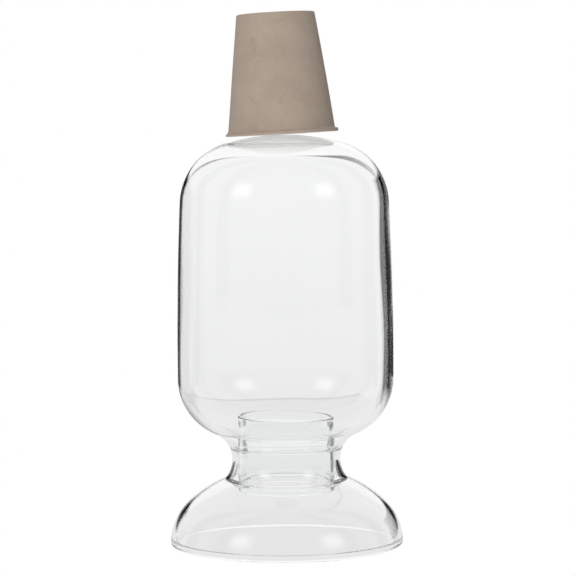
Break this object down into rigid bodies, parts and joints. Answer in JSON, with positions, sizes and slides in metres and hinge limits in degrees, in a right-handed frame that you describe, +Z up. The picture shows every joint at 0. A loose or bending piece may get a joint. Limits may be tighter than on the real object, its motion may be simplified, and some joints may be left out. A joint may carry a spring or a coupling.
{
  "type": "wasp trap",
  "caption": "Free-standing glass insect trap: a closed domed chamber with an entry tube rising through its waist, a flared bell foot and a tapered rubber stopper.",
  "frame": {"origin": "on the vessel's axis, in the plane that the rim of the foot stands on", "axes": "+Z up along the vessel's axis, +Y away from the front; the stopper leans towards -X by 2.75 degrees"},
  "size_m": [0.1, 0.1, 0.228],
  "materials": {
    "clear_glass": "clear, smooth, fire-polished",
    "stopper_rubber": "matte moulded rubber, greyish beige"
  },
  "bodies": {
    "vessel": {"chamber": "clear_glass", "foot": "clear_glass", "entry_tube": "clear_glass"},
    "stopper": {"stopper": "stopper_rubber"}
  },
  "joints": [
    {"name": "stopper_lift", "type": "slide", "parent": "vessel", "child": "stopper", "axis": [0, 0, 1], "range_m": [0, 0.08]}
  ]
}
